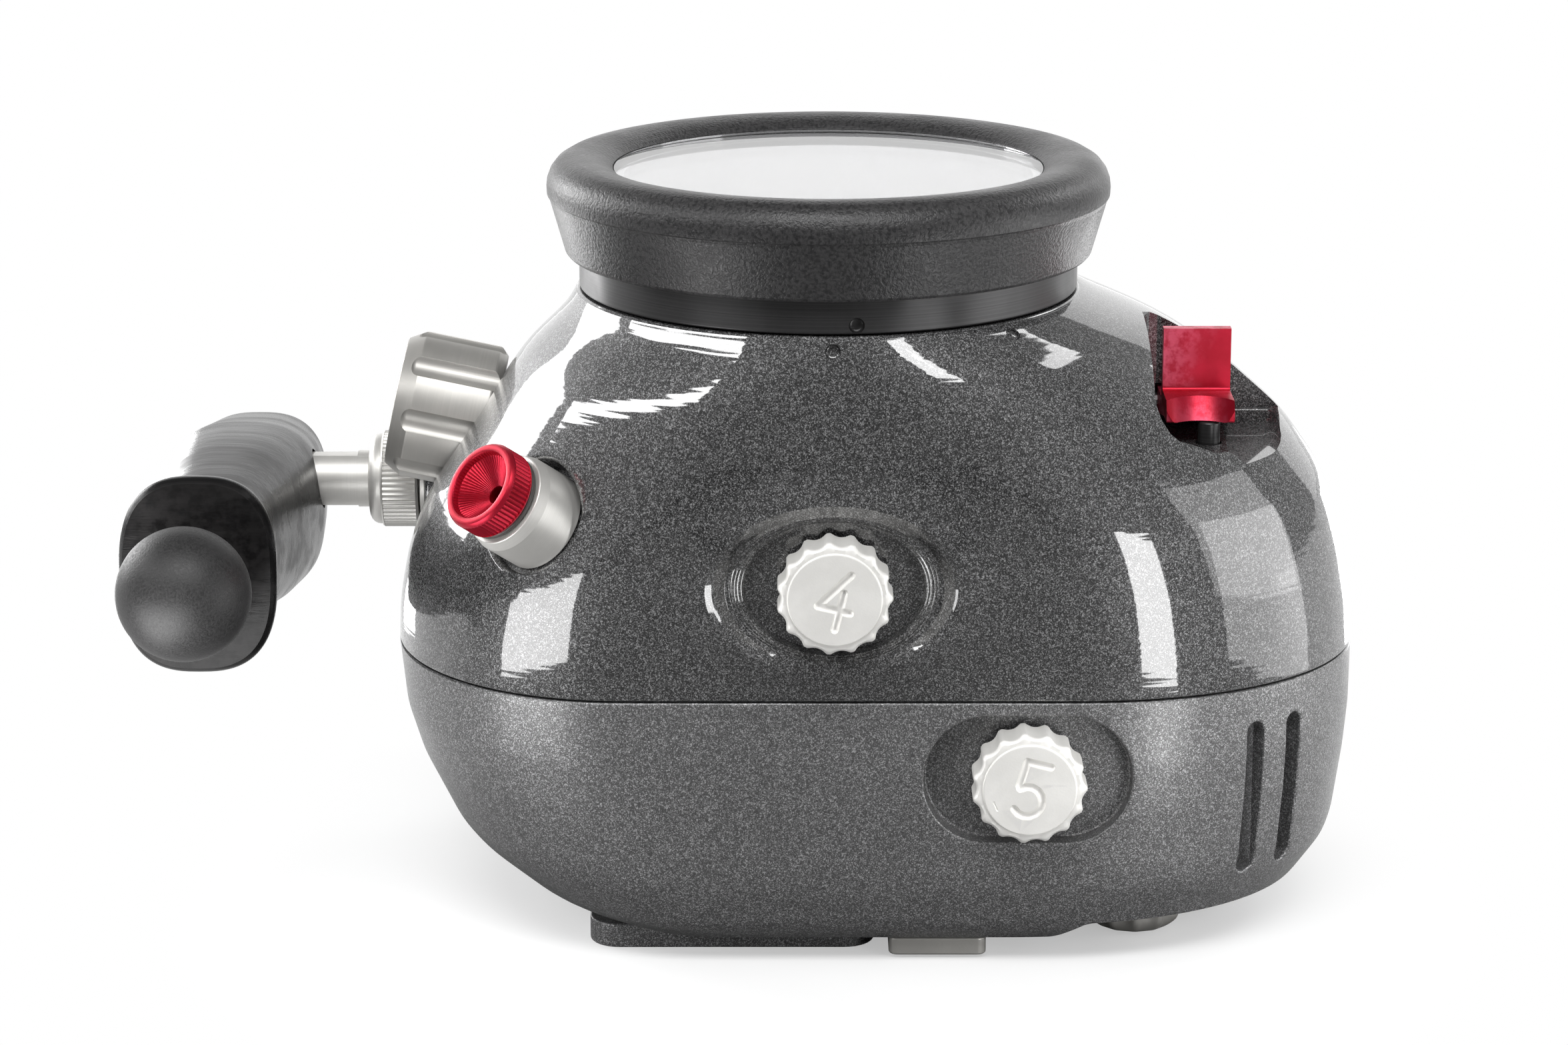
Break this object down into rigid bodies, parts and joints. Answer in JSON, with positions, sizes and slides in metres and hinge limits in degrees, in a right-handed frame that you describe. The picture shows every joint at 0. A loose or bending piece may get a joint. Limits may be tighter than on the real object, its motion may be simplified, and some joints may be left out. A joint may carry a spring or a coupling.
{
  "type": "underwater camera housing",
  "caption": "Two-part metal dive housing for a compact camera, with a round bayonet port, rubber shade, control knobs, shutter lever, sync plug and side handle.",
  "frame": {"origin": "foot of the port axis on the plane that the rear of the housing rests on", "axes": "+Z along the optical axis, out of the port; -Y towards the camera's top side; +X towards the viewer's right hand"},
  "size_m": [0.2425, 0.1498, 0.151],
  "materials": {
    "lacquer": "gloss",
    "black_anodised": "satin",
    "silver": "satin",
    "red_anodised": "satin",
    "rubber": "matte",
    "grip": "matte",
    "steel": "satin",
    "glass": "gloss",
    "polymer": "matte"
  },
  "bodies": {
    "rear_case": {"rear_shell": "lacquer", "main_o_ring": "rubber", "monitor_window": "glass", "monitor_ring": "black_anodised", "eyepiece_window": "glass", "eyepiece_ring": "black_anodised", "camera_tray": "black_anodised", "speed_gland": "steel", "dial_gland": "steel", "lock_block": "silver", "hinge_pin": "steel", "tripod_insert": "steel", "function_button_spring": "steel", "menu_button_spring": "steel", "playback_button_spring": "steel", "record_button_spring": "steel", "select_button_spring": "steel"},
    "front_case": {"front_shell": "lacquer", "aperture_gland": "steel", "zoom_gland": "steel", "sync_bulkhead": "silver", "sync_contact": "polymer", "shutter_pivot_pin": "steel", "shutter_gland": "steel", "shutter_spring": "steel", "handle_socket": "silver"},
    "port": {"port_ring": "black_anodised", "port_o_ring": "rubber", "port_glass": "glass", "port_shade": "rubber"},
    "plug_seal": {"sync_plug_o_ring": "rubber"},
    "plug": {"sync_plug": "red_anodised"},
    "trigger": {"shutter_lever": "red_anodised"},
    "plunger": {"shutter_plunger": "black_anodised"},
    "handle_arm": {"handle_post": "silver", "handle_core": "silver", "handle_grip": "grip", "grip_end_cap": "grip", "strobe_ball": "grip"},
    "lock_nut": {"handle_nut": "silver"},
    "closing_screw": {"lock_screw": "black_anodised"},
    "tray_lock": {"tray_screw": "steel"},
    "aperture_control": {"aperture_knob": "silver", "aperture_shaft": "steel", "aperture_drive_wheel": "rubber"},
    "speed_control": {"speed_knob": "silver", "speed_shaft": "steel", "speed_drive_wheel": "rubber"},
    "dial_control": {"dial_knob": "silver", "dial_shaft": "steel", "dial_drive_wheel": "rubber"},
    "zoom_control": {"zoom_knob": "silver", "zoom_shaft": "steel", "zoom_drive_wheel": "rubber"},
    "function_button_body": {"function_button": "silver"},
    "menu_button_body": {"menu_button": "silver"},
    "playback_button_body": {"playback_button": "silver"},
    "record_button_body": {"record_button": "silver"},
    "select_button_body": {"select_button": "silver"}
  },
  "joints": [
    {"name": "case_open", "type": "hinge", "parent": "rear_case", "child": "front_case", "pos_m": [0.01, 0.0595, 0.0545], "axis": [-1, 0, 0], "range_deg": [0, 100]},
    {"name": "port_turn", "type": "hinge", "parent": "front_case", "child": "port", "pos_m": [0, 0, 0.125], "axis": [0, 0, 1], "range_deg": [0, 45]},
    {"name": "aperture_turn", "type": "hinge", "parent": "front_case", "child": "aperture_control", "pos_m": [0.0008, -0.0506, 0.077], "axis": [0, -1, 0], "continuous": true},
    {"name": "zoom_turn", "type": "hinge", "parent": "front_case", "child": "zoom_control", "pos_m": [-0.0873, 0.015, 0.0977], "axis": [-0.9781, 0, 0.2079], "continuous": true},
    {"name": "speed_turn", "type": "hinge", "parent": "rear_case", "child": "speed_control", "pos_m": [0.038, -0.0494, 0.0391], "axis": [0, -1, 0], "continuous": true},
    {"name": "dial_turn", "type": "hinge", "parent": "rear_case", "child": "dial_control", "pos_m": [0.0606, -0.027, 0.0085], "axis": [0, 0, -1], "continuous": true},
    {"name": "trigger_press", "type": "hinge", "parent": "front_case", "child": "trigger", "pos_m": [0.0725, 0.0034, 0.1007], "axis": [1, 0, 0], "range_deg": [0, 6], "stiffness_Nm_per_rad": 0.3, "springref_deg": -5.73},
    {"name": "plunger_slide", "type": "slide", "parent": "front_case", "child": "plunger", "axis": [0, 0, -1], "range_m": [0, 0.0021], "deforming": ["shutter_spring"]},
    {"name": "handle_swivel", "type": "hinge", "parent": "front_case", "child": "handle_arm", "pos_m": [-0.0828, 0.034, 0.0764], "axis": [-1, 0, 0], "range_deg": [-30, 30]},
    {"name": "nut_turn", "type": "hinge", "parent": "front_case", "child": "lock_nut", "pos_m": [-0.0828, 0.034, 0.0764], "axis": [-1, 0, 0], "continuous": true},
    {"name": "plug_lift", "type": "slide", "parent": "front_case", "child": "plug_seal", "axis": [-0.638, -0.537, 0.552], "range_m": [0, 0.0032]},
    {"name": "plug_turn", "type": "hinge", "parent": "plug_seal", "child": "plug", "pos_m": [-0.06167, -0.04819, 0.09328], "axis": [-0.638, -0.537, 0.552], "range_deg": [0, 1080]},
    {"name": "closing_turn", "type": "hinge", "parent": "rear_case", "child": "closing_screw", "pos_m": [0.017, -0.0396, 0], "axis": [0, 0, 1], "continuous": true},
    {"name": "tray_lock_turn", "type": "hinge", "parent": "rear_case", "child": "tray_lock", "pos_m": [0.012, 0.04, 0.032], "axis": [0, 1, 0], "continuous": true},
    {"name": "function_button_press", "type": "slide", "parent": "rear_case", "child": "function_button_body", "axis": [0, 0, 1], "range_m": [0, 0.002], "stiffness_N_per_m": 400, "springref_m": -0.002, "deforming": ["function_button_spring"]},
    {"name": "menu_button_press", "type": "slide", "parent": "rear_case", "child": "menu_button_body", "axis": [0, 0, 1], "range_m": [0, 0.002], "stiffness_N_per_m": 400, "springref_m": -0.002, "deforming": ["menu_button_spring"]},
    {"name": "playback_button_press", "type": "slide", "parent": "rear_case", "child": "playback_button_body", "axis": [0, 0, 1], "range_m": [0, 0.002], "stiffness_N_per_m": 400, "springref_m": -0.002, "deforming": ["playback_button_spring"]},
    {"name": "record_button_press", "type": "slide", "parent": "rear_case", "child": "record_button_body", "axis": [0, 0, 1], "range_m": [0, 0.002], "stiffness_N_per_m": 400, "springref_m": -0.002, "deforming": ["record_button_spring"]},
    {"name": "select_button_press", "type": "slide", "parent": "rear_case", "child": "select_button_body", "axis": [0, 0, 1], "range_m": [0, 0.002], "stiffness_N_per_m": 400, "springref_m": -0.002, "deforming": ["select_button_spring"]}
  ],
  "couplings": [
    {"joint": "plunger_slide", "follows": "trigger_press", "m_per_rad": 0.0196},
    {"joint": "plug_lift", "follows": "plug_turn", "m_per_rad": 0.000159}
  ]
}
